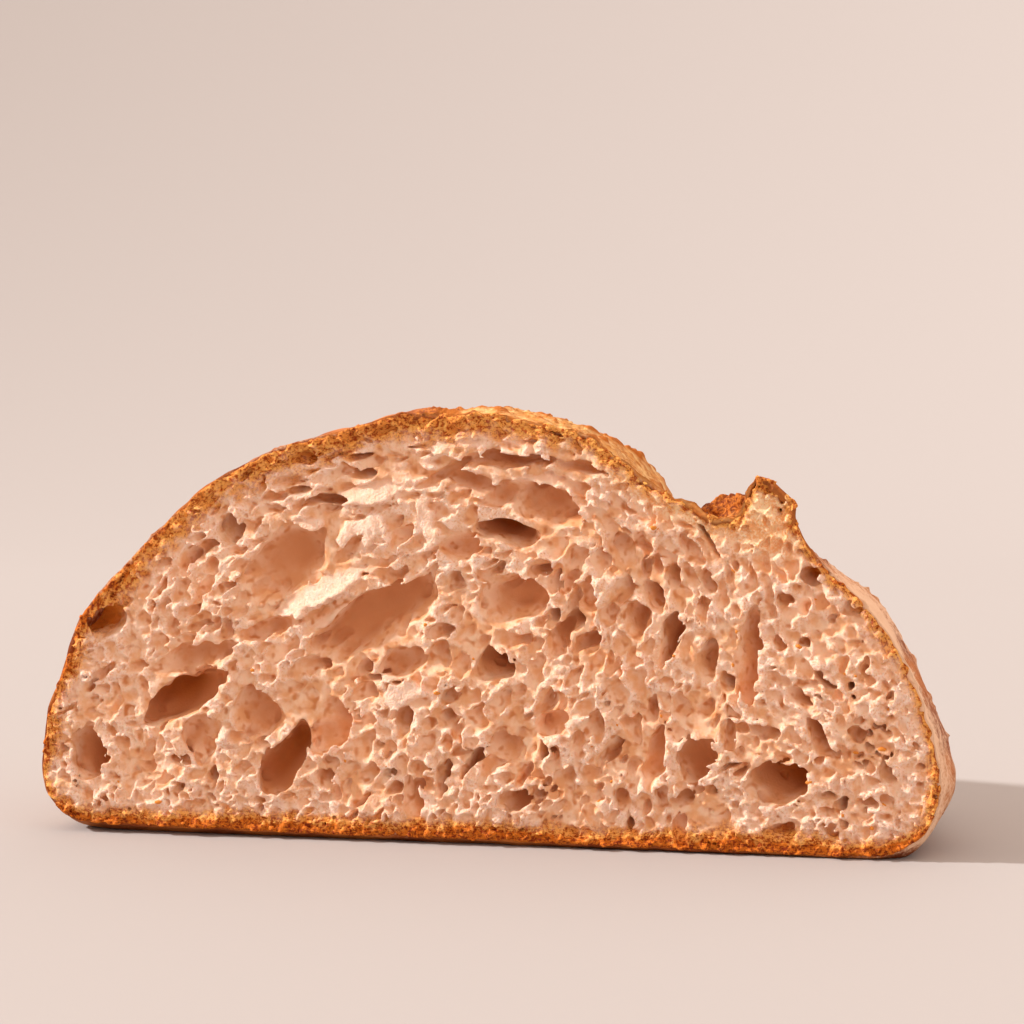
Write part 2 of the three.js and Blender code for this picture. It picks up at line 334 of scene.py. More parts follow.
# Big pockets, read off the photo: centre x, z on the cut face, half length, half height,
# tilt in degrees from +x towards +z, and depth behind the face.
POCKETS = {
    "left crust hole": (-97.2, 54.4, 5.7, 4.6, 10, 9),
    "long slit": (-76.1, 34.7, 13.4, 4.5, 29, 15),
    "left round": (-58.8, 31.6, 6.9, 6.1, 90, 8),
    "dark low left": (-50.1, 19.8, 11.1, 5.0, 62, 12),
    "bottom left": (-101.6, 18.8, 7.3, 4.1, 80, 12),
    "smooth hollow": (-50.7, 69.5, 10.5, 7.9, 38, 8),
    "long hollow": (-27.5, 55.4, 19.2, 6.2, 25, 10),
    "upper left hole": (-64.9, 79.7, 4.2, 3.7, 90, 9),
    "left high": (-75.5, 70.7, 3.7, 2.4, 65, 6),
    "top slit 1": (-44.3, 96.4, 4.2, 1.6, -15, 6),
    "top slit 2": (-45.9, 87.8, 3.1, 1.3, -5, 6),
    "top slit 3": (-31.0, 98.2, 3.9, 1.3, 0, 6),
    "top slit 4": (-30.0, 92.2, 4.7, 1.6, 0, 6),
    "upper hollow": (17.0, 85.6, 10.6, 5.0, -20, 8),
    "upper hollow left": (5.6, 88.5, 5.1, 3.0, 10, 6),
    "deep dark": (7.1, 78.5, 8.4, 3.5, -5, 14),
    "hollow beside": (-4.3, 73.1, 6.1, 4.1, 10, 7),
    "middle big": (9.1, 61.6, 9.1, 6.8, 22, 8),
    "dark middle": (4.1, 45.0, 5.1, 4.1, 0, 14),
    "middle right": (25.3, 55.7, 4.0, 2.3, 55, 8),
    "middle right low": (21.5, 51.1, 4.3, 3.0, 70, 7),
    "tall slit": (48.9, 51.9, 7.7, 2.2, 78, 9),
    "ear hole": (82.6, 69.2, 2.9, 2.7, 0, 8),
    "flank hole": (92.7, 63.3, 1.9, 1.7, 0, 6),
    "ear low": (75.8, 62.5, 2.4, 2.2, 0, 5),
    "long right hollow": (68.4, 48.4, 12.2, 2.9, 88, 6),
    "right hollow": (58.8, 47.2, 5.7, 2.7, 85, 5),
    "leaf right": (85.3, 28.9, 5.3, 2.4, -45, 8),
    "big right": (75.1, 17.1, 8.0, 6.6, 0, 14),
    "egg right": (54.7, 23.1, 6.2, 4.2, 90, 9),
    "low flank": (102.7, 22.6, 3.6, 2.4, -70, 9),
    "crust hole": (75.4, 5.7, 4.1, 1.7, -5, 8),
    "low right": (91.2, 12.7, 2.4, 1.9, 90, 6),
    "low middle": (52.8, 12.6, 2.7, 2.2, 0, 6),
    "crust hole small": (36.6, 6.4, 2.3, 1.3, 85, 6),
    "crust hole tall": (51.1, 6.1, 3.5, 2.3, 80, 6),
    "low slit 1": (-7.7, 16.7, 5.1, 1.8, 80, 8),
    "low slit 2": (-0.8, 20.7, 5.6, 1.3, 65, 7),
    "low hole": (10.2, 11.7, 4.1, 3.1, 75, 8),
    "lean hole": (32.9, 24.5, 4.3, 2.0, 70, 7),
    "left of middle low": (-16.0, 11.9, 5.7, 3.1, 100, 7),
    "left of middle": (-38.8, 28.8, 7.9, 5.2, 70, 6),
    "right of middle": (45.6, 23.8, 8.4, 3.0, 78, 5),
    "small 1": (94.7, 30.9, 2.2, 1.9, 0, 4),
    "small 2": (39.9, 20.4, 3.5, 2.2, 65, 5),
    "low left hollow": (-72.9, 24.3, 6.4, 5.9, 60, 4.5),
    "wide left hollow": (-74.1, 44.8, 12.3, 4.0, 20, 5),
    "middle left hollow": (-54.4, 53.7, 8.4, 2.9, 17, 5),
    "far left slit": (-97.6, 41.2, 4.3, 1.6, 25, 5),
    "oval 1": (25.8, 73.5, 3.8, 3.0, 90, 5),
    "oval 2": (31.0, 72.1, 4.0, 1.7, 100, 5),
    "oval 3": (35.7, 74.7, 5.0, 3.0, 90, 5),
    "oval 4": (40.7, 69.8, 3.2, 1.7, 85, 5),
    "oval 5": (36.0, 65.0, 4.0, 2.2, 80, 5),
    "oval 6": (29.3, 63.9, 4.3, 2.8, 95, 5),
    "fold 1": (-9.1, 92.6, 9.2, 1.8, 22, 6),
    "fold 2": (8.6, 95.7, 10.1, 2.0, 3, 7),
    "fold 3": (26.7, 93.8, 9.0, 1.7, -14, 6),
    "valley slit": (58.2, 77.2, 4.9, 1.0, -50, 7),
    "middle hollow 2": (-20.0, 46.0, 6.2, 3.9, 30, 5),
    "middle slit": (-27.3, 41.0, 3.6, 1.3, 0, 5),
    "lean hollow 1": (19.5, 30.8, 5.0, 3.5, 40, 5),
    "lean hollow 2": (5.3, 25.4, 3.3, 3.1, 0, 5),
    "lean hollow 3": (-6.9, 39.0, 4.1, 2.6, 50, 5),
    "right low hollow": (71.9, 30.8, 4.4, 2.4, 0, 4),
    "small lean": (87.3, 43.7, 3.1, 1.2, -25, 4),
}

# How the smaller cells lie in each part of the face: x, z, tilt, length over height, half height,
# and how deep the toasted colour goes in from the crust there.
GRAIN = [
    (-75, 35, 28, 2.4, 0.95, 3.5), (-100, 20, 75, 1.4, 0.7, 3.6), (-100, 45, 55, 1.8, 0.75, 3.8),
    (-98, 54.5, 40, 1.5, 0.8, 6.0), (-55, 75, 28, 2.8, 0.85, 5.0), (-78, 68, 42, 2.2, 0.75, 5.0),
    (-45, 93, 8, 4.5, 0.8, 6.0), (-10, 98, 5, 5.0, 0.8, 6.0), (30, 93, -24, 4.5, 0.8, 3.6),
    (48, 84, -25, 3.5, 0.8, 2.2),
    (0, 75, 12, 2.0, 1.0, 3.5), (-25, 84, 12, 3.6, 0.9, 3.5), (35, 70, 88, 1.7, 1.3, 3.5),
    (60, 60, 85, 2.2, 0.85, 3.5), (72, 84, 100, 1.8, 0.6, 1.9), (95, 55, -40, 1.6, 0.65, 2.6),
    (104, 30, -15, 1.4, 0.6, 2.0), (80, 35, -20, 1.8, 0.8, 3.0), (50, 25, 72, 1.8, 1.0, 3.0),
    (20, 25, 62, 2.1, 1.1, 3.0), (0, 45, 35, 2.0, 1.1, 3.0), (-10, 20, 65, 1.8, 1.1, 3.0),
    (-45, 40, 35, 2.2, 1.1, 3.0), (-60, 6, 20, 1.3, 0.6, 4.6), (0, 4, 30, 1.3, 0.6, 4.6),
    (70, 5, 10, 1.4, 0.6, 5.0), (108, 8, 10, 1.4, 0.6, 3.4),
]
GRAIN_BLEND = 60  # square millimetres: the larger, the softer one part passes into the next


def grain(x, z):
    """Tilt in radians, length over height, half height and depth of toasting at points x, z."""
    x, z = np.asarray(x, float)[..., None], np.asarray(z, float)[..., None]
    g = np.array(GRAIN, float)
    weight = 1 / ((x - g[:, 0]) ** 2 + (z - g[:, 1]) ** 2 + GRAIN_BLEND) ** 2
    weight = weight / weight.sum(-1, keepdims=True)
    twice = np.radians(g[:, 2]) * 2
    tilt = np.arctan2((weight * np.sin(twice)).sum(-1), (weight * np.cos(twice)).sum(-1)) / 2
    return tilt, (weight * g[:, 3]).sum(-1), (weight * g[:, 4]).sum(-1), (weight * g[:, 5]).sum(-1)


def outline_distance(y):
    """Distance in from the crust's surface over the block's x, z grid at depth y; negative outside."""
    ring = crust_ring(y)[0][:, [0, 2]].astype(np.float32)
    # Worked out on a grid of 1 mm, then spread over the voxels
    gx, gz = (np.arange(BLOCK_LOW[n], BLOCK_HIGH[n] + 1, 1.0, dtype=np.float32) for n in (0, 2))
    p = np.stack(np.meshgrid(gx, gz, indexing="ij"), -1).reshape(-1, 2)
    nearest = np.full(len(p), 1e9, np.float32)
    inside = np.zeros(len(p), bool)
    for a, b in zip(ring, np.roll(ring, -1, 0)):
        d = b - a
        s = np.clip(((p - a) @ d) / max(1e-9, float(d @ d)), 0, 1)
        nearest = np.minimum(nearest, ((p - a - s[:, None] * d) ** 2).sum(1))
        if a[1] != b[1]:
            crosses = (a[1] > p[:, 1]) != (b[1] > p[:, 1])
            inside ^= crosses & (p[:, 0] < (b[0] - a[0]) * (p[:, 1] - a[1]) / (b[1] - a[1]) + a[0])
    signed = (np.sqrt(nearest) * np.where(inside, 1, -1)).reshape(len(gx), len(gz))
    for axis, n in enumerate((SHAPE[0], SHAPE[2])):
        at = np.arange(n) * STEP
        i = np.minimum(at.astype(int), signed.shape[axis] - 2)
        f = (at - i).reshape([-1, 1] if axis == 0 else [1, -1])
        signed = np.take(signed, i, axis) * (1 - f) + np.take(signed, i + 1, axis) * f
    return signed.astype(np.float32)


DISTANCE_DEPTHS = [0, 3, 6, 10, 14, 18]  # where the distance to the crust is worked out


def in_from_crust():
    """Distance in from the crust's surface over the whole block."""
    at = DISTANCE_DEPTHS
    layers = [outline_distance(y) for y in at]
    out = np.empty(SHAPE, np.float32)
    for j, y in enumerate(BLOCK_LOW[1] + STEP * np.arange(SHAPE[1])):
        k = int(np.clip(np.searchsorted(at, y) - 1, 0, len(at) - 2))
        f = float(np.clip((y - at[k]) / (at[k + 1] - at[k]), 0, 1))
        out[:, j, :] = layers[k] * (1 - f) + layers[k + 1] * f
    return out


inward = in_from_crust()
axes = [BLOCK_LOW[k] + STEP * np.arange(SHAPE[k]) for k in range(3)]
GX, GY, GZ = (a.astype(np.float32).reshape(s) for a, s in zip(axes, ((-1, 1, 1), (1, -1, 1), (1, 1, -1))))

flat_x, flat_z = np.meshgrid(axes[0], axes[2], indexing="ij")
face = int(round((0 - BLOCK_LOW[1]) / STEP))
grain_here = grain(flat_x, flat_z)


def voxel(x, z):
    """The voxel that x, z on the cut falls in."""
    return int((x - BLOCK_LOW[0]) / STEP), int((z - BLOCK_LOW[2]) / STEP)


def face_noise(wavelength, seed):
    """Smooth random values over the cut's x, z grid."""
    cell = wavelength / STEP
    return block_noise((SHAPE[0], 1, SHAPE[2]), (cell, 1, cell), seed)[:, 0]


def turned(x, z, tilt):
    """Places along and across an axis that is tilted from +x towards +z."""
    return x * math.cos(tilt) + z * math.sin(tilt), z * math.cos(tilt) - x * math.sin(tilt)


def ellipsoid(u, v, w, a, b, c):
    """About the distance out from an ellipsoid of half length a, half height b and half depth c."""
    q = np.sqrt((u / a) ** 2 + (v / c) ** 2 + (w / b) ** 2) + 1e-6
    slope = np.sqrt((u / a**2) ** 2 + (v / c**2) ** 2 + (w / b**2) ** 2) + 1e-6
    return q * (q - 1) / slope


# Cells as they open on the cut. Each has an outline and a bowl behind it, and between two bowls a
# wall is left standing. The grid keeps the distance to the nearest and the next outline.
warp_x = flat_x + 0.45 * face_noise(3.2, 21) + 0.28 * face_noise(1.2, 22)
warp_z = flat_z + 0.45 * face_noise(3.2, 23) + 0.28 * face_noise(1.2, 24)
CLEAR_OF_CRUST = 0.9
FAR = 9.0  # where there is no second cell
WARP_REACH = 4  # as far as the warps can carry the edge of a cell
BOWL_LEAN = (0.8, 0.6)  # bowls are deeper towards their right and upper edge
nearest = inward[:, face, :] - CLEAR_OF_CRUST
following = np.full_like(nearest, FAR)
bowl = np.zeros_like(nearest)
bowl_size = np.ones_like(nearest)
slant = np.zeros_like(nearest)


def open_cell(x, z, a, b, tilt, depth):
    """Opens a cell on the cut: a and b are its half length and half height, depth that of its bowl."""
    reach = max(a, b) + WARP_REACH
    first, last = voxel(x - reach, z - reach), voxel(x + reach, z + reach)
    here = tuple(slice(max(0, i), j + 1) for i, j in zip(first, last))
    px, pz = warp_x[here] - x, warp_z[here] - z
    u, w = turned(px, pz, tilt)
    d = ellipsoid(u, 0, w, a, b, 1)
    nearer = d < nearest[here]
    following[here] = np.where(nearer, nearest[here], np.minimum(following[here], d))
    bowl[here] = np.where(nearer, depth, bowl[here])
    bowl_size[here] = np.where(nearer, b, bowl_size[here])
    lean = np.clip((BOWL_LEAN[0] * px + BOWL_LEAN[1] * pz) / b, -1.2, 1.2)
    slant[here] = np.where(nearer, lean, slant[here])
    nearest[here] = np.where(nearer, d, nearest[here])


# Sheets of dough torn at the cut: centre x, z, half length, half height, tilt, how far they stand
# out from the cut, and how steeply they fall back across their width
SHEETS = {
    "rim of the smooth hollow": (-40.7, 63.6, 15.5, 3.2, 28, 0.1, 0.6),
    "white tuft": (-29.1, 77.9, 7.2, 4.4, 25, 0.5, 0.1),
    "pale tongue": (-44.2, 79.7, 5.2, 2.4, 10, 0.1, 0.4),
    "top sheet": (-29.1, 87.8, 10.2, 2.0, 12, 0.0, 0.6),
    "wet strands": (-13.0, 81.9, 3.6, 7.0, 10, 0.2, 0.0),
    "under fold": (6.4, 91.0, 16.0, 1.8, 6, 0.1, 0.6),
    "tan membrane": (-32.4, 58.6, 10.6, 3.4, 22, -1.0, 0.5),
    "left streak": (-70.6, 46.4, 12.8, 1.0, 22, 0.1, 0.3),
    "middle tuft": (-19.3, 38.5, 6.0, 3.0, 20, 0.2, 0.0),
    "score film": (46.0, 88.8, 10.4, 1.5, -22, 0.1, 0.5),
    "score film above": (34.8, 95.4, 10.2, 1.3, -25, 0.1, 0.5),
    "crown film": (-1.4, 100.8, 17.8, 1.2, 3, 0.0, 0.6),
}


def on_sheet(x, z, a, b, tilt):
    """Places along and across a sheet over the cut's grid, and the share of the sheet there."""
    u, w = turned(flat_x - x, flat_z - z, math.radians(tilt))
    edge = ellipsoid(u, 0, w, a, b, 1) + 0.8 * face_noise(4, 41) + 0.4 * face_noise(1.2, 42)
    return u, w, 1 - ramp(edge, -0.7, 0.3)


film = np.max([on_sheet(*sheet[:5])[2] for sheet in SHEETS.values()], axis=0)

# The smaller cells are thrown at the cut, the large ones first, and stay where they find room
CELL_SCALES = ((2.2, 3000), (1.6, 8000), (1.15, 16000), (0.8, 30000), (0.55, 50000))  # and how many tries
SMALLEST_GAP = 0.45
WALL_LEFT = 0.15
OVERSIZE = 0.75  # a cell may be larger than its gap by this much, and press against its neighbours
LARGE = 1.5  # above this scale a cell is more often deep

for x, z, a, b, tilt, _ in POCKETS.values():
    open_cell(x, z, a, b, math.radians(tilt), 0)

deep_cells = []  # cells that also go back into the crumb, as carve wants them
for scale, tries in CELL_SCALES:
    for x, z in rng.uniform((BLOCK_LOW[0], 1), (BLOCK_HIGH[0], 110), (tries, 2)):
        i, k = voxel(x, z)
        gap = nearest[i, k] - WALL_LEFT
        if gap < SMALLEST_GAP:
            continue
        tilt, stretch, half_height, _ = (g[i, k] for g in grain_here)
        b = half_height * scale * rng.uniform(0.8, 1.2) * min(1, 0.4 + 0.05 * inward[i, face, k])
        if gap < b * OVERSIZE:
            continue
        a = b * max(1, stretch * rng.uniform(0.6, 1.2))
        tilt += rng.normal(0, 0.3)
        open_cell(x, z, a, b, tilt, b * rng.uniform(0.5, 1.5))
        if rng.random() < (0.25 if scale > LARGE else 0.1) and film[i, k] < 0.2:
            c = b * rng.uniform(1.4, 3.0)
            deep_cells.append((x, c * rng.uniform(-0.2, 0.4), z, a * 0.9, b * 0.9, c, tilt))

# The cut as a height back from the knife's plane: bowls with walls between them, stretches where the
# walls are torn down, the pull of the knife, and ragged crests
wall = 0.3 + 0.15 * face_noise(5, 31) + 0.16 * face_noise(1.1, 36)
wall = np.minimum(wall, 0.28 * bowl_size)
rise = np.clip(((following - nearest) / 2 - wall) / (0.8 * bowl_size), 0, 1)
hollow = bowl * np.sqrt(1 - (1 - rise) ** 2) * (1 + 0.5 * slant)
sunk = np.clip(0.8 * face_noise(6, 32) - 0.2, 0, 1.5) * ramp(inward[:, face, :], 1, 5)
hollow = np.maximum(hollow, 0.45 * sunk) + 0.6 * sunk
pull = (0.55 * face_noise(14, 33) + 0.3 * face_noise(4, 34)) * ramp(inward[:, face, :], 0, 6)
crest = (0.35 * face_noise(1.6, 35) + 0.22 * face_noise(0.9, 37)) * np.exp(-hollow / 0.5)
cut_face = hollow + pull - crest

for *outline, out, fall in SHEETS.values():
    u, w, here = on_sheet(*outline)
    streaks = noise(np.stack([u, 0 * u, (w + 0.6 * u) / 5], -1), 1.3, 43)
    sheet = fall * w + 0.01 * u**2 - out + 0.28 * np.abs(streaks) + 0.15 * face_noise(3, 44) + 0.6 * pull
    cut_face = cut_face * (1 - here) + sheet * here
cut_face = cut_face.astype(np.float32)[:, None, :]

fray = block_noise(SHAPE, (2.3, 2.3, 2.3), 4)
torn_edge = np.exp(-np.maximum(GY, 0) / 1.2)
near_crust = 1 - ramp(inward, 2.5, 6)
fray_depth = (0.36 * (1 - 0.7 * film[:, None, :]) + 0.2 * near_crust).astype(np.float32)
solid = -GY + cut_face + fray_depth * torn_edge * fray
solid = np.maximum(solid, GY - CRUMB_BACK)

# Pockets are carved in coordinates that wander a little, so none is a true ellipsoid, and near the
# cut their edges are frayed.
wander = [
    0.8 * block_noise(SHAPE, (16, 16, 16), 5 + k) + 0.3 * block_noise(SHAPE, (6, 6, 6), 8 + k)
    + 0.35 * torn_edge * block_noise(SHAPE, (2.6, 3, 2.6), 11 + k)
    for k in range(3)
]


CARVE_REACH = 2.5  # as far as the wander can carry a pocket's wall
LEAN = (0.4, 0.3)  # how far a pocket moves right and up for each millimetre back
OTHER_LEANS = {
    "long slit": (-0.25, 0.3), "dark low left": (0.0, 0.1), "left round": (0.1, 0.1),
    "long hollow": (0.1, 0.55), "deep dark": (0.0, 0.3), "left crust hole": (-0.3, 0.1),
    "egg right": (0.2, 0.1), "bottom left": (0.2, 0.2),
}


def carve(x, y, z, a, b, c, tilt, lean=LEAN):
    """Takes a pocket out of the crumb. a, b and c are its half length, half height and half depth."""
    at = np.array([x, y, z])
    reach = np.array([a, c, max(a, b)]) + CARVE_REACH + np.array([abs(lean[0]), 0, lean[1]]) * c
    low_i = np.clip(((at - reach - BLOCK_LOW) / STEP).astype(int), 0, None)
    high_i = np.minimum(((at + reach - BLOCK_LOW) / STEP).astype(int) + 1, SHAPE)
    if (high_i <= low_i).any():
        return
    cut = tuple(slice(i, j) for i, j in zip(low_i, high_i))
    py = GY[:, cut[1]] - y + wander[1][cut]
    px = GX[cut[0]] - x + wander[0][cut] - lean[0] * GY[:, cut[1]]
    pz = GZ[:, :, cut[2]] - z + wander[2][cut] - lean[1] * GY[:, cut[1]]
    u, w = turned(px, pz, tilt)
    solid[cut] = np.maximum(solid[cut], -ellipsoid(u, py, w, a, b, c))


for name, (x, z, a, b, tilt, depth) in POCKETS.items():
    tilt = math.radians(tilt)
    lean = OTHER_LEANS.get(name, LEAN)
    carve(x, depth * 0.1, z, a, b, depth * 0.9, tilt, lean)
    # Shallow dents of the bubbles that pressed against the pocket's wall
    for _ in range(int(2 + a * b / 5)):
        turn, back = rng.uniform(0, 2 * math.pi), rng.uniform(0.15, 0.85)
        round_here = math.sqrt(1 - back * back)
        u, w = a * math.cos(turn) * round_here, b * math.sin(turn) * round_here
        at_x = x + u * math.cos(tilt) - w * math.sin(tilt)
        at_z = z + u * math.sin(tilt) + w * math.cos(tilt)
        size = rng.uniform(0.5, 1.3) * (0.5 + b / 7)
        carve(at_x, depth * back, at_z, size * rng.uniform(1, 1.6), size, size * 0.8, tilt, lean)
for cell in deep_cells:
    carve(*cell)

# The crumb ends just inside the crust. At the cut the edge is flaky, most of all on the ear.
FLAKE = 0.6
UNDER_CRUST = 1.0
UNDER_CRUST_AT_CUT = 0.35
craggy = 0.3 + 0.7 * ramp(GX, 0, 12) * ramp(GZ, 76, 84)
flaky = (FLAKE * craggy * (1 - ramp(GY, 0.6, 2.5))).astype(np.float32) * block_noise(SHAPE, (3, 3, 3), 14)
flaky = np.maximum(flaky, -FLAKE)
solid = np.maximum(solid, np.where(GY < 2, UNDER_CRUST_AT_CUT, UNDER_CRUST) + flaky - inward)


def new_piece(name, points, faces, material, values=None):
    """A mesh from points in the loaf's millimetres, with one float attribute for each entry of values."""
    mesh = bpy.data.meshes.new(name)
    mesh.from_pydata((np.asarray(points) * MM + np.array(CUT)).tolist(), [], faces)
    for key, data in (values or {}).items():
        mesh.attributes.new(key, "FLOAT", "POINT").data.foreach_set("value", np.asarray(data, np.float32))
    mesh.shade_smooth()
    mesh.materials.append(material)
    piece = bpy.data.objects.new(name, mesh)
    bpy.context.scene.collection.objects.link(piece)
    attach(piece, "root")
    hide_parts("half_loaf")
    return piece


def sampled(field, points):
    """Values of a block field at points, straight-line between voxels."""
    q = (points - BLOCK_LOW) / STEP
    i = np.clip(np.floor(q).astype(int), 0, np.array(SHAPE) - 2)
    f = np.clip(q - i, 0, 1)
    total = 0
    for step in CORNERS:
        weight = np.prod(np.where(step, f, 1 - f), axis=1)
        total = total + weight * field[tuple((i + step).T)]
    return total


def on_face(values, points):
    """Values of a field on the cut's x, z grid at points, from the nearest grid point."""
    nearest_step = np.rint((points - BLOCK_LOW) / STEP).astype(int)
    i, _, k = np.clip(nearest_step, 0, np.array(SHAPE) - 1).T
    return values[i, k]


def linear(hex_colour):
    """An sRGB colour such as #c08040 as linear red, green, blue and alpha."""
    parts = [int(hex_colour[k : k + 2], 16) / 255 for k in (1, 3, 5)]
    return [p / 12.92 if p <= 0.04045 else ((p + 0.055) / 1.055) ** 2.4 for p in parts] + [1.0]


def feature(size):
    """The Scale that gives a pattern features of that size in millimetres."""
    return 1 / (size * MM)


def plug(tree, node, inputs):
    """Gives a node's inputs their values, or links them to other nodes' outputs."""
    for key, value in inputs.items():
        named = (i for i in node.inputs if i.enabled and i.name == key)
        socket = node.inputs[key] if isinstance(key, int) else next(named)
        if isinstance(value, bpy.types.NodeSocket):
            tree.links.new(value, socket)
        else:
            socket.default_value = value


def add(tree, kind, inputs=None, output=None, **options):
    """Adds a node with its own options and its inputs, as plug takes them. Returns one output."""
    node = tree.nodes.new(kind)
    for key, value in options.items():
        setattr(node, key, value)
    plug(tree, node, inputs or {})
    return node.outputs[output] if output else next(o for o in node.outputs if o.enabled)


def material_tree(name):
    """A new material, its node tree and its shader."""
    material = bpy.data.materials.new(name)
    material.use_nodes = True
    tree = material.node_tree
    return material, tree, tree.nodes["Principled BSDF"]


NOISE = "ShaderNodeTexNoise"
RANGE = "ShaderNodeMapRange"
MATH = "ShaderNodeMath"
BLEND = "ShaderNodeMix"
MIX = {"data_type": "RGBA"}
FADE = {"interpolation_type": "SMOOTHSTEP"}

# Crumb: pale moist torn rims round pinker cell walls, with painted shade that darkens the walls just behind
# the cut and browns them deeper in a pocket; golden inside the ear, toasted flakes towards the crust and a
# dark line where the crust itself is cut
crumb_material, tree, shader = material_tree("sourdough_crumb")
place_at = add(tree, "ShaderNodeTexCoord", output="Object")
bake, depth, sheet_here, bark_here, gold_here, crust_distance = (
    add(tree, "ShaderNodeAttribute", output="Fac", attribute_name=key)
    for key in ("bake", "depth", "film", "bark", "gold", "from_crust")
)
mottle = add(tree, NOISE, {"Vector": place_at, "Scale": feature(3.8), "Detail": 3.0})
grit = add(tree, NOISE, {"Vector": place_at, "Scale": feature(0.6), "Detail": 2.0})
spots = add(tree, NOISE, {"Vector": place_at, "Scale": feature(1.8), "Detail": 0.0})
patch = add(tree, MATH, {0: mottle, 1: grit}, operation="ADD")
patch = add(tree, RANGE, {"Value": patch, "From Min": 0.85, "From Max": 1.15}, **FADE)
rim = add(tree, BLEND, {"Factor": patch, "A": linear("#f3cbac"), "B": linear("#fadbc8")}, **MIX)
# Painted shade: where the grit is low, and the bump sinks tiny pits, the rims are darkened towards #dfa074
pore_shade = add(tree, RANGE, {"Value": grit, "From Min": 0.47, "From Max": 0.3, "To Max": 0.6}, **FADE)
rim = add(tree, BLEND, {"Factor": pore_shade, "A": rim, "B": linear("#dfa074")}, **MIX)
smooth = add(tree, RANGE, {"Value": mottle, "From Min": 0.35, "From Max": 0.65}, **FADE)
wall = add(tree, BLEND, {"Factor": smooth, "A": linear("#e7ad7e"), "B": linear("#f3cdae")}, **MIX)
dark_spots = add(tree, RANGE, {"Value": spots, "From Min": 0.55, "From Max": 0.85}, **FADE)
wall = add(tree, BLEND, {"Factor": dark_spots, "A": wall, "B": linear("#cd8654")}, **MIX)
# Partly the smoother walls' own pinker tone, partly painted shade: the colour darkens from the rims to the
# walls over the first millimetre behind the cut
behind = add(tree, RANGE, {"Value": depth, "From Min": -0.1, "From Max": 1.3}, **FADE)
flesh = add(tree, BLEND, {"Factor": behind, "A": rim, "B": wall}, **MIX)
golden = add(tree, BLEND, {"Factor": patch, "A": linear("#f1b47c"), "B": linear("#fddcb4")}, **MIX)
flesh = add(tree, BLEND, {"Factor": gold_here, "A": flesh, "B": golden}, **MIX)
# Painted shade: the flesh darkens the deeper it lies in a pocket, first towards #d29062 and past 8 mm
# towards #bc6e30
deep = add(tree, RANGE, {"Value": depth, "From Min": 1.8, "From Max": 8.0}, **FADE)
flesh = add(tree, BLEND, {"Factor": deep, "A": flesh, "B": linear("#d29062")}, **MIX)
deepest = add(tree, RANGE, {"Value": depth, "From Min": 8.0, "From Max": 13.0}, **FADE)
flesh = add(tree, BLEND, {"Factor": deepest, "A": flesh, "B": linear("#bc6e30")}, **MIX)
# The torn sheets are paler dough, whitened further as a painted sheen
sheet_pale_and_sheen = add(tree, RANGE, {"Value": sheet_here, "From Min": 0.0, "From Max": 2.2}, **FADE)
flesh = add(tree, BLEND, {"Factor": sheet_pale_and_sheen, "A": flesh, "B": linear("#fbddca")}, **MIX)

# The toasted band is layered along the crust, so its pattern is drawn out along it
across = add(tree, MATH, {0: crust_distance, 1: 1.8 * MM}, operation="MULTIPLY")
across = add(tree, "ShaderNodeCombineXYZ", {"Z": across})
layers_at = add(
    tree, "ShaderNodeVectorMath", {0: place_at, 1: (0.4, 0.4, 0.4), 2: across}, operation="MULTIPLY_ADD"
)
layers = add(tree, NOISE, {"Vector": layers_at, "Scale": feature(0.9), "Detail": 3.0, "Roughness": 0.6})
sponge = add(tree, NOISE, {"Vector": place_at, "Scale": feature(0.9), "Detail": 3.0, "Roughness": 0.7})
flakes = add(tree, MATH, {0: layers, 1: 0.5, 2: sponge}, operation="MULTIPLY_ADD")
flake_tips = add(tree, RANGE, {"Value": flakes, "From Min": 0.6, "From Max": 0.84}, **FADE)
toast = add(tree, BLEND, {"Factor": flake_tips, "A": linear("#b04c0a"), "B": linear("#ffba62")}, **MIX)
# Painted light: deep in a hole by the crust the toast is brightened to a glowing orange, standing in for
# light reaching into it
toast = add(tree, BLEND, {"Factor": deep, "A": toast, "B": linear("#ee9034")}, **MIX)
bark = add(tree, BLEND, {"Factor": flake_tips, "A": linear("#822c06"), "B": linear("#e07e24")}, **MIX)
share = add(tree, MATH, {0: mottle, 1: 2.0, 2: bake}, operation="MULTIPLY_ADD")
toasted = add(tree, RANGE, {"Value": share, "From Min": 2.6, "From Max": 1.4}, **FADE)
colour = add(tree, BLEND, {"Factor": toasted, "A": flesh, "B": toast}, **MIX)
barked = add(tree, RANGE, {"Value": share, "From Min": 1.42, "From Max": 1.12}, **FADE)
barked = add(tree, MATH, {0: barked, 1: bark_here}, operation="MULTIPLY")
outside = add(tree, RANGE, {"Value": depth, "From Min": 3.0, "From Max": 1.0}, **FADE)
barked = add(tree, MATH, {0: barked, 1: outside}, operation="MULTIPLY")
colour = add(tree, BLEND, {"Factor": barked, "A": colour, "B": bark}, **MIX)
# Fine relief in millimetres: grainy on the torn rims, smooth in the cells, flaky in the toasted band
near_cut = add(
    tree, RANGE, {"Value": depth, "From Min": 1.5, "From Max": 0.2, "To Min": 0.1, "To Max": 0.42}
)
grains = add(tree, MATH, {0: grit, 1: near_cut}, operation="MULTIPLY")
flaking = add(tree, MATH, {0: flakes, 1: toasted}, operation="MULTIPLY")
relief = add(tree, MATH, {0: flaking, 1: 0.7, 2: grains}, operation="MULTIPLY_ADD")
bump = add(tree, "ShaderNodeBump", {"Height": relief, "Strength": 1.0, "Distance": MM})
plug(tree, shader, {
    "Base Color": colour, "Normal": bump, "Roughness": 0.75, "Specular IOR Level": 0.2,
    "Subsurface Weight": 0.3, "Subsurface Radius": (1.0, 0.62, 0.42), "Subsurface Scale": 0.7 * MM,
})
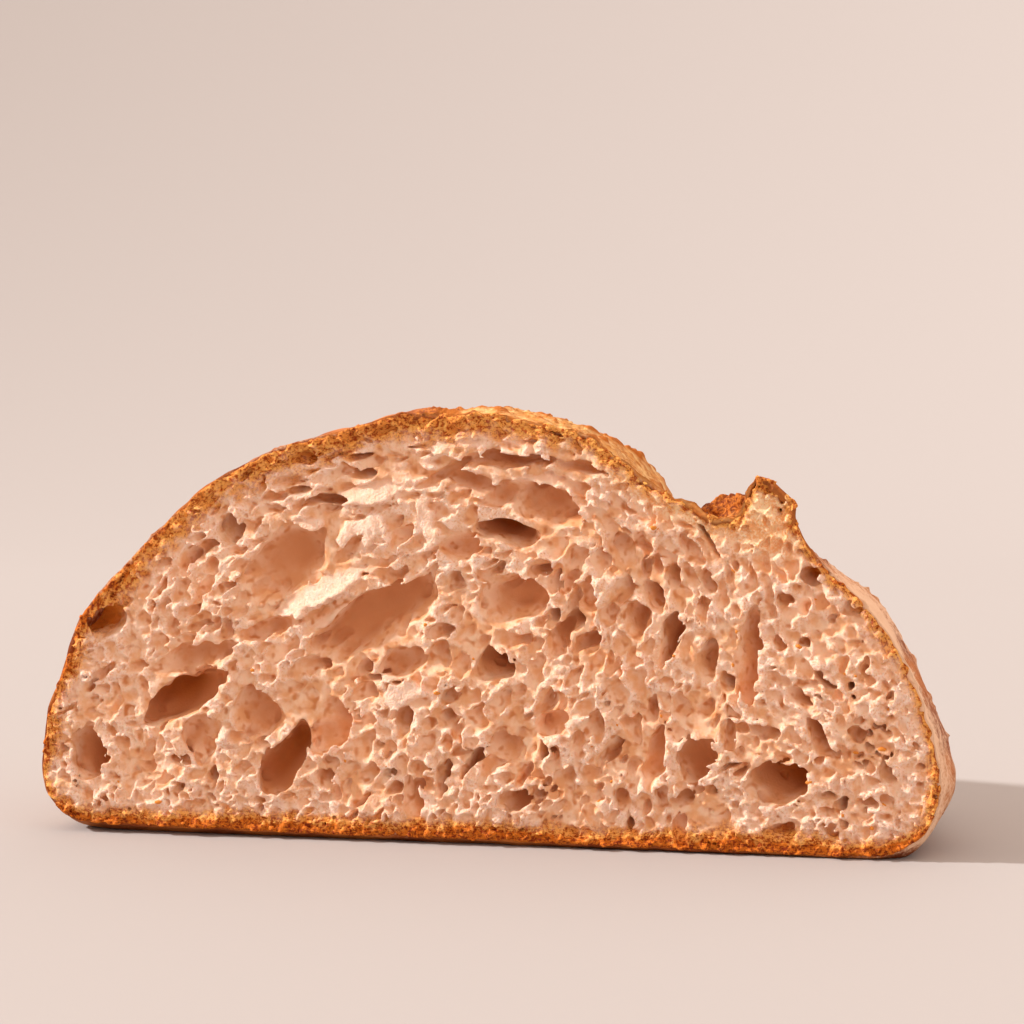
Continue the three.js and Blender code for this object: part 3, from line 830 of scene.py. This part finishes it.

# Crust: dry brown skin dusted with flour, pale fibrous dough with browned strands and painted shade between
# its fibres where the score tore open, and dark crumbly roast on the ear's rim
crust_material, tree, shader = material_tree("floured_crust")
place_at = add(tree, "ShaderNodeTexCoord", output="Object")
torn, rim_share, flour_share, ridge = (
    add(tree, "ShaderNodeAttribute", output="Fac", attribute_name=key)
    for key in ("torn", "rim", "flour", "ridge")
)
broad = add(tree, NOISE, {"Vector": place_at, "Scale": feature(14), "Detail": 5.0})
mottle = add(tree, NOISE, {"Vector": place_at, "Scale": feature(3.3), "Detail": 4.0})
grit = add(tree, NOISE, {"Vector": place_at, "Scale": feature(0.8), "Detail": 3.0})
crumble = add(tree, NOISE, {"Vector": place_at, "Scale": feature(1.3), "Detail": 3.0, "Roughness": 0.65})
patches = add(tree, RANGE, {"Value": broad, "From Min": 0.35, "From Max": 0.65}, **FADE)
skin = add(tree, BLEND, {"Factor": patches, "A": linear("#8c4217"), "B": linear("#c67636")}, **MIX)
dust = add(tree, MATH, {0: mottle, 1: grit}, operation="ADD")
dust = add(tree, MATH, {0: dust, 1: flour_share}, operation="ADD")
dusted = add(tree, RANGE, {"Value": dust, "From Min": 1.2, "From Max": 1.9}, **FADE)
skin = add(tree, BLEND, {"Factor": dusted, "A": skin, "B": linear("#f4cba8")}, **MIX)
smooth = add(tree, RANGE, {"Value": mottle, "From Min": 0.3, "From Max": 0.7}, **FADE)
dough = add(tree, BLEND, {"Factor": smooth, "A": linear("#edaa5c"), "B": linear("#fbd394")}, **MIX)
browned = add(tree, RANGE, {"Value": ridge, "From Min": 0.15, "From Max": 0.9}, **FADE)
along_fibres = add(tree, "ShaderNodeMapping", {"Vector": place_at, "Scale": (0.2, 1.0, 0.2)})
fibres = add(tree, NOISE, {"Vector": along_fibres, "Scale": feature(0.9), "Detail": 3.0})
# Painted shade: the grooves between the fibres, low in the bump, are darkened towards the brown of the
# standing strands
between = add(tree, RANGE, {"Value": fibres, "From Min": 0.58, "From Max": 0.38, "To Max": 0.75}, **FADE)
browned = add(tree, MATH, {0: between, 1: browned}, operation="MAXIMUM")
dough = add(tree, BLEND, {"Factor": browned, "A": dough, "B": linear("#c57228")}, **MIX)
colour = add(tree, BLEND, {"Factor": torn, "A": skin, "B": dough}, **MIX)
tips = add(tree, RANGE, {"Value": crumble, "From Min": 0.4, "From Max": 0.6}, **FADE)
roast = add(tree, BLEND, {"Factor": tips, "A": linear("#823809"), "B": linear("#d07a2a")}, **MIX)
colour = add(tree, BLEND, {"Factor": rim_share, "A": colour, "B": roast}, **MIX)
# Fine relief in millimetres: grains of flour, long fibres on the torn dough, crumbly roast
fibres = add(tree, MATH, {0: fibres, 1: torn}, operation="MULTIPLY")
relief = add(tree, MATH, {0: fibres, 1: 2.4, 2: grit}, operation="MULTIPLY_ADD")
crumbly = add(tree, MATH, {0: crumble, 1: rim_share}, operation="MULTIPLY")
relief = add(tree, MATH, {0: crumbly, 1: 2.5, 2: relief}, operation="MULTIPLY_ADD")
bump = add(tree, "ShaderNodeBump", {"Height": relief, "Strength": 1.0, "Distance": 0.45 * MM})
plug(tree, shader, {"Base Color": colour, "Normal": bump, "Roughness": 0.7, "Specular IOR Level": 0.25})

# Flecks of broken crust: dry and golden brown, the most lively colour on the cut
fleck_material, tree, shader = material_tree("crust_fleck")
plug(tree, shader, {"Base Color": linear("#e08a2c"), "Roughness": 0.6})


def crust_depths():
    """Depths of the crust's sections, close together behind the cut and where the loaf rounds off."""
    front = np.linspace(CUT_EDGE, FRONT_DEPTH, FRONT_ROWS)
    turn = np.linspace(0, math.pi / 2, BACK_ROWS + 1)[1:]
    return np.concatenate([front, FRONT_DEPTH + (DEPTH - FRONT_DEPTH) * np.sin(turn)])


# Just behind the cut the crust turns in and back, so that it is a shell round the crumb. Further rings
# of its inner wall have their depth and the thickness there, and the last is closed behind the crumb.
CUT_EDGE_BACK = 0.4  # how far behind that start the inner wall's own is
INNER_WALL = ((8.0, CRUST_THICK), (16.0, CRUST_THICK), (20.0, 3.0))


def flouring(points):
    """How much flour lies on the crust: most on the right flank, least near the table and by the ear."""
    right = ramp(points[:, 0], 30, 100)
    flour = 0.34 + 0.34 * right + 0.3 * noise(points, 22, 10) - 0.5 * (1 - ramp(points[:, 2], 0.5, 5))
    return flour - 0.7 * ramp(points[:, 2], 68, 80) * right


def wrap_crust():
    """The crust: rings from the inner wall round the cut edge to the back, where they meet in a point."""
    depths = crust_depths()[:-1]
    outer, shares = [], {"torn": [], "rim": [], "ridge": []}
    for y in depths:
        ring, _, *values = crust_ring(y)
        outer.append(ring)
        for key, value in zip(shares, values):
            shares[key].append(value)
    inner = []
    for y, thick in ((depths[0] + CUT_EDGE_BACK, CRUST_THICK), *INNER_WALL):
        ring, normal, *_ = crust_ring(y)
        inner.append(ring - normal * thick)
    rings = inner[::-1] + outer
    points = np.concatenate([*rings, [[0, DEPTH, WAIST]]])
    count = len(T)
    faces = []
    for r in range(len(rings) - 1):
        a, b = r * count, (r + 1) * count
        faces += [(a + i, a + (i + 1) % count, b + (i + 1) % count, b + i) for i in range(count)]
    last = (len(rings) - 1) * count
    faces += [(last + i, last + (i + 1) % count, len(points) - 1) for i in range(count)]
    faces.append(tuple(range(count))[::-1])
    blank = [np.zeros(count)] * len(inner)
    new_piece("crust", points, faces, crust_material, {
        **{key: np.concatenate([*blank, *values, [0]]) for key, values in shares.items()},
        "flour": flouring(points),
    })


def baking(points, from_crust):
    """How little the crumb is baked: 0 at the crust and 1 where the toasted flesh ends.

    The ear's tip and the base count as baked more, and points further behind the cut toast further in from
    the crust.
    """
    x, y, z = points.T
    toasted_to = grain(x, z)[3]
    ear_tip = 1 - ramp(np.hypot(x - 73.5, z - 92.5), 2, 5.5)
    base = 0.4 * (1 - ramp(z, 3, 9))
    return from_crust / toasted_to - 0.05 * np.clip(y, 0, 9) - 1.2 * ear_tip - base


def bark_share(points):
    """How dark the cut edge of the crust is: palest in the open score, paler on crown and right flank."""
    x, z = points[:, 0], points[:, 2]
    in_score = ramp(z, 78, 84) * ramp(x, -4, 8) * (1 - ramp(x, 62, 70))
    right_flank = ramp(x, 86, 94) * (1 - ramp(z, 58, 66)) * ramp(z, 6, 14)
    crown = ramp(z, 66, 92)
    return np.maximum(0, 1 - 0.85 * in_score - 0.5 * right_flank - 0.45 * crown)


def golden_share(points, from_crust):
    """How golden the flesh is: most in the ear, and thinly under the torn slope of the score."""
    x, z = points[:, 0], points[:, 2]
    in_ear = 1 - ramp(np.hypot(x - 73, z - 85), 6, 16)
    slope = (1 - ramp(from_crust, 1.5, 8)) * ramp(x, 14, 34) * (1 - ramp(x, 70, 82)) * ramp(z, 70, 78)
    return np.maximum(in_ear, slope)


SLAB_EDGES = [BLOCK_LOW[0], -66, -38, -8, 31, 63, BLOCK_HIGH[0]]  # at places with few big pockets
OVERLAP = 6  # voxels by which a slab runs on under its neighbour
SINK = 0.022  # how fast it sinks away from the surface there
OUTSIDE = 0.5  # value of the block's field where there is no crumb
FLATTEN = 0.06  # how far small faces may be merged where the crumb is smooth
SHEET_DEPTH = 2.5  # no torn sheet lies deeper than this


def skin_crumb():
    """The block of crumb as six pieces side by side, each small enough to keep all its faces."""
    edges = np.rint((np.array(SLAB_EDGES) - BLOCK_LOW[0]) / STEP).astype(int)
    for n in range(len(SLAB_EDGES) - 1):
        i0, i1 = max(0, edges[n] - OVERLAP), min(SHAPE[0], edges[n + 1] + OVERLAP + 1)
        at = np.arange(i0, i1)
        past = np.maximum(0, np.maximum(edges[n] - at, at - edges[n + 1])).astype(np.float32)
        grid = openvdb.FloatGrid(OUTSIDE)
        grid.copyFromArray(solid[i0:i1] + SINK * past[:, None, None] ** 2)
        points, tris, quads = grid.convertToPolygons(isovalue=0.0, adaptivity=FLATTEN)
        points = (points + [i0, 0, 0]) * STEP + BLOCK_LOW
        faces = [tuple(f) for f in tris[:, ::-1].tolist()] + [tuple(f) for f in quads[:, ::-1].tolist()]
        from_crust = sampled(inward, points)
        new_piece(f"crumb_{n + 1}", points, faces, crumb_material, {
            "bake": baking(points, from_crust),
            "depth": points[:, 1] - on_face(pull, points),
            "film": on_face(film, points) * (points[:, 1] < SHEET_DEPTH),
            "gold": golden_share(points, from_crust),
            "from_crust": from_crust,
            "bark": bark_share(points),
        })


LOOSE_CRUMBS = 110  # thrown at the cut, of which those over a pocket are lost
CRUMB_RADII = (0.25, 0.6)
LIES_ON = 1.2  # a crumb lies only where the cut is no deeper than this


def scatter_crumbs():
    """Crumbs of crust that the knife dragged over the cut."""
    points, faces = [], []
    for _ in range(LOOSE_CRUMBS):
        x, z = rng.uniform((-100, 6), (104, 100))
        i, k = voxel(x, z)
        if inward[i, face, k] < 2:
            continue
        y = axes[1][np.flatnonzero(solid[i, :, k] < 0)[0]]
        if y > LIES_ON:
            continue
        ball = bmesh.new()
        bmesh.ops.create_icosphere(ball, subdivisions=2, radius=1)
        ball.verts.index_update()
        size = rng.uniform(*CRUMB_RADII) * np.array([rng.uniform(0.8, 1.7), 0.6, rng.uniform(0.8, 1.4)])
        at = np.array([v.co for v in ball.verts])
        lumpy = at * (1 + 0.35 * noise(at + x, 0.9, 20))[:, None] * size
        start = sum(len(p) for p in points)
        points.append(lumpy + [x, y - 0.1, z])
        faces += [tuple(start + v.index for v in f.verts) for f in ball.faces]
        ball.free()
    new_piece("crust_crumbs", np.concatenate(points), faces, fleck_material)


wrap_crust()
skin_crumb()
scatter_crumbs()

FLOOR_HALF = 2.6  # metres
FLOOR_FLAT = 0.9  # radius over which the floor is level, before it rises into a backdrop all round
FLOOR_RISE = 0.3
FLOOR_SQUARES = 80
floor_mesh = bpy.data.meshes.new("floor")
table = bmesh.new()
bmesh.ops.create_grid(table, x_segments=FLOOR_SQUARES, y_segments=FLOOR_SQUARES, size=FLOOR_HALF)
for v in table.verts:
    v.co.z = FLOOR_RISE * max(0, v.co.xy.length - FLOOR_FLAT) ** 2
table.to_mesh(floor_mesh)
table.free()
floor_mesh.shade_smooth()
# Matt pale grey, which adds no colour to the loaf's own
floor_material, tree, shader = material_tree("pale_floor")
plug(tree, shader, {"Base Color": linear("#b2b0b1"), "Roughness": 0.9})
floor_mesh.materials.append(floor_material)
floor = bpy.data.objects.new("floor", floor_mesh)
bpy.context.scene.collection.objects.link(floor)

# Plain studio light: a warm even surround, and one key light from the left
SURROUND = 1.22
KEY_STRENGTH = 3.75
KEY_SOFTNESS = math.radians(3.5)
KEY_FROM = Vector((-0.826, -0.146, 0.545))  # the shadow on the table points straight away from it
world = bpy.data.worlds.new("studio")
bpy.context.scene.world = world
world.use_nodes = True
background = world.node_tree.nodes["Background"]
plug(world.node_tree, background, {"Color": linear("#ffe5d3"), "Strength": SURROUND})
key = bpy.data.lights.new("key", "SUN")
key.energy = KEY_STRENGTH
key.angle = KEY_SOFTNESS
key.color = linear("#fff8f2")[:3]
key_lamp = bpy.data.objects.new("key", key)
key_lamp.location = KEY_FROM
key_lamp.rotation_euler = KEY_FROM.to_track_quat("Z", "Y").to_euler()
bpy.context.scene.collection.objects.link(key_lamp)

# The camera stands in front of the cut, a little to the right, and looks slightly down
CAMERA_AT = (120.7, -584.5, 115.2)
CAMERA_TURN = math.radians(10.8)
CAMERA_DIP = math.radians(3.0)
camera = bpy.data.cameras.new("camera")
camera.sensor_width = 36
camera.lens = 84.375
camera.clip_start = 0.05
camera_object = bpy.data.objects.new("camera", camera)
camera_object.location = CUT + Vector(CAMERA_AT) * MM
level = math.cos(CAMERA_DIP)
towards = Vector((-math.sin(CAMERA_TURN) * level, math.cos(CAMERA_TURN) * level, -math.sin(CAMERA_DIP)))
camera_object.rotation_euler = towards.to_track_quat("-Z", "Y").to_euler()
bpy.context.scene.collection.objects.link(camera_object)
bpy.context.scene.camera = camera_object
bpy.context.scene.view_settings.view_transform = "Standard"
